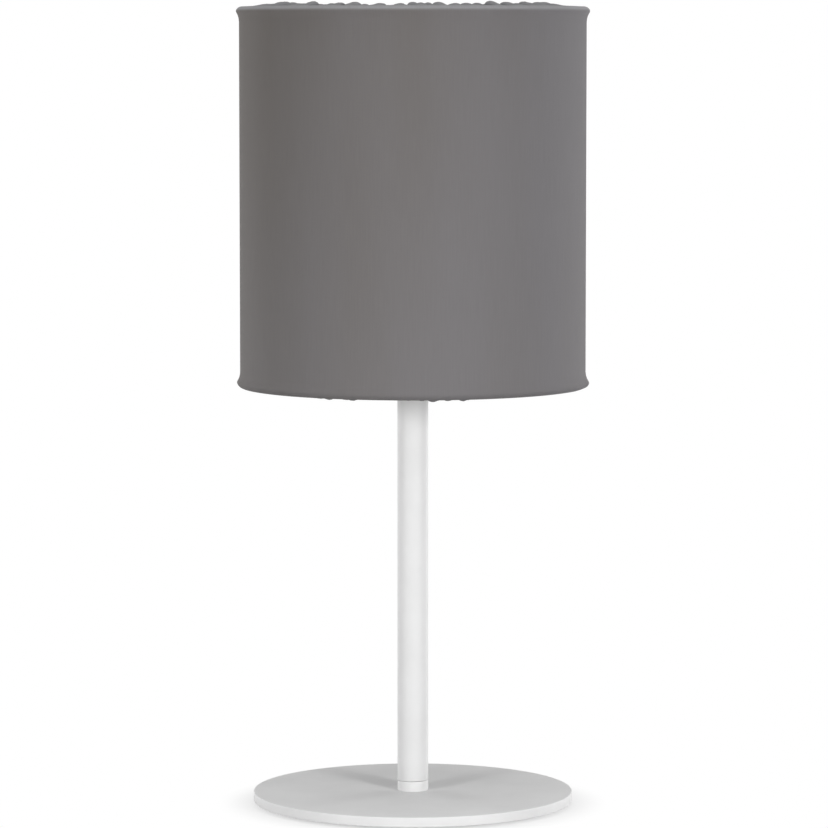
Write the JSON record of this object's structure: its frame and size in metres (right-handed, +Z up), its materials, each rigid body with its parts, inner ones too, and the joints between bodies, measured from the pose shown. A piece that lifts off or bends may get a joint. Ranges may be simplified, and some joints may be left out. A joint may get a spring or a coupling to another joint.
{
  "type": "table lamp",
  "caption": "Table lamp with a flat disc base, a plain tube post and a drum shade whose cloth cover is gathered over wire rings.",
  "frame": {"origin": "on the table, under the middle of the round base", "axes": "+Z up along the post, +Y towards the back, where the cable inlet is, +X to the right as seen from the front"},
  "size_m": [0.2498, 0.2498, 0.5712],
  "materials": {
    "white_paint": "satin",
    "steel": "satin",
    "brass": "satin",
    "nickel": "satin",
    "rubber": "matte",
    "white_rubber": "matte",
    "white_plastic": "satin",
    "black_glass": "gloss",
    "opal_plastic": "satin",
    "liner_sheet": "matte",
    "grey_cloth": "matte",
    "elastic_band": "matte"
  },
  "bodies": {
    "lamp_stand": {"base_plate": "white_paint", "foot_1": "rubber", "foot_2": "rubber", "foot_3": "rubber", "foot_4": "rubber", "base_screw": "steel", "post_collar": "white_paint", "post_tube": "white_paint", "tube_foot_insert": "steel", "tube_top_insert": "steel", "cable_grommet": "white_rubber", "holder_nipple": "steel", "holder_washer": "steel", "holder_cap": "white_plastic", "holder_block": "white_plastic", "terminal_screw_1": "brass", "terminal_screw_2": "brass", "holder_shell": "white_plastic", "centre_contact": "brass", "side_contact": "brass"},
    "shade": {"fitter_ring": "white_paint", "spider_arm_1": "white_paint", "spider_arm_2": "white_paint", "spider_arm_3": "white_paint", "bottom_ring": "white_paint", "top_ring": "white_paint", "upright_1": "white_paint", "upright_2": "white_paint", "upright_3": "white_paint", "upright_4": "white_paint", "shade_liner": "liner_sheet", "cover_sleeve": "grey_cloth", "bottom_hem": "grey_cloth", "top_hem": "grey_cloth", "bottom_elastic": "elastic_band", "top_elastic": "elastic_band"},
    "shade_ring": {"shade_ring": "white_plastic"},
    "bulb": {"bulb_contact": "nickel", "bulb_insulator": "black_glass", "bulb_cap": "nickel", "bulb_housing": "white_plastic", "bulb_globe": "opal_plastic"}
  },
  "joints": [
    {"name": "shade_lift", "type": "slide", "parent": "lamp_stand", "child": "shade", "axis": [0, 0, 1], "range_m": [0, 0.12]},
    {"name": "ring_lift", "type": "slide", "parent": "shade", "child": "shade_ring", "axis": [0, 0, 1], "range_m": [0, 0.24]},
    {"name": "bulb_lift", "type": "slide", "parent": "shade_ring", "child": "bulb", "axis": [0, 0, 1], "range_m": [0, 0.24]}
  ]
}
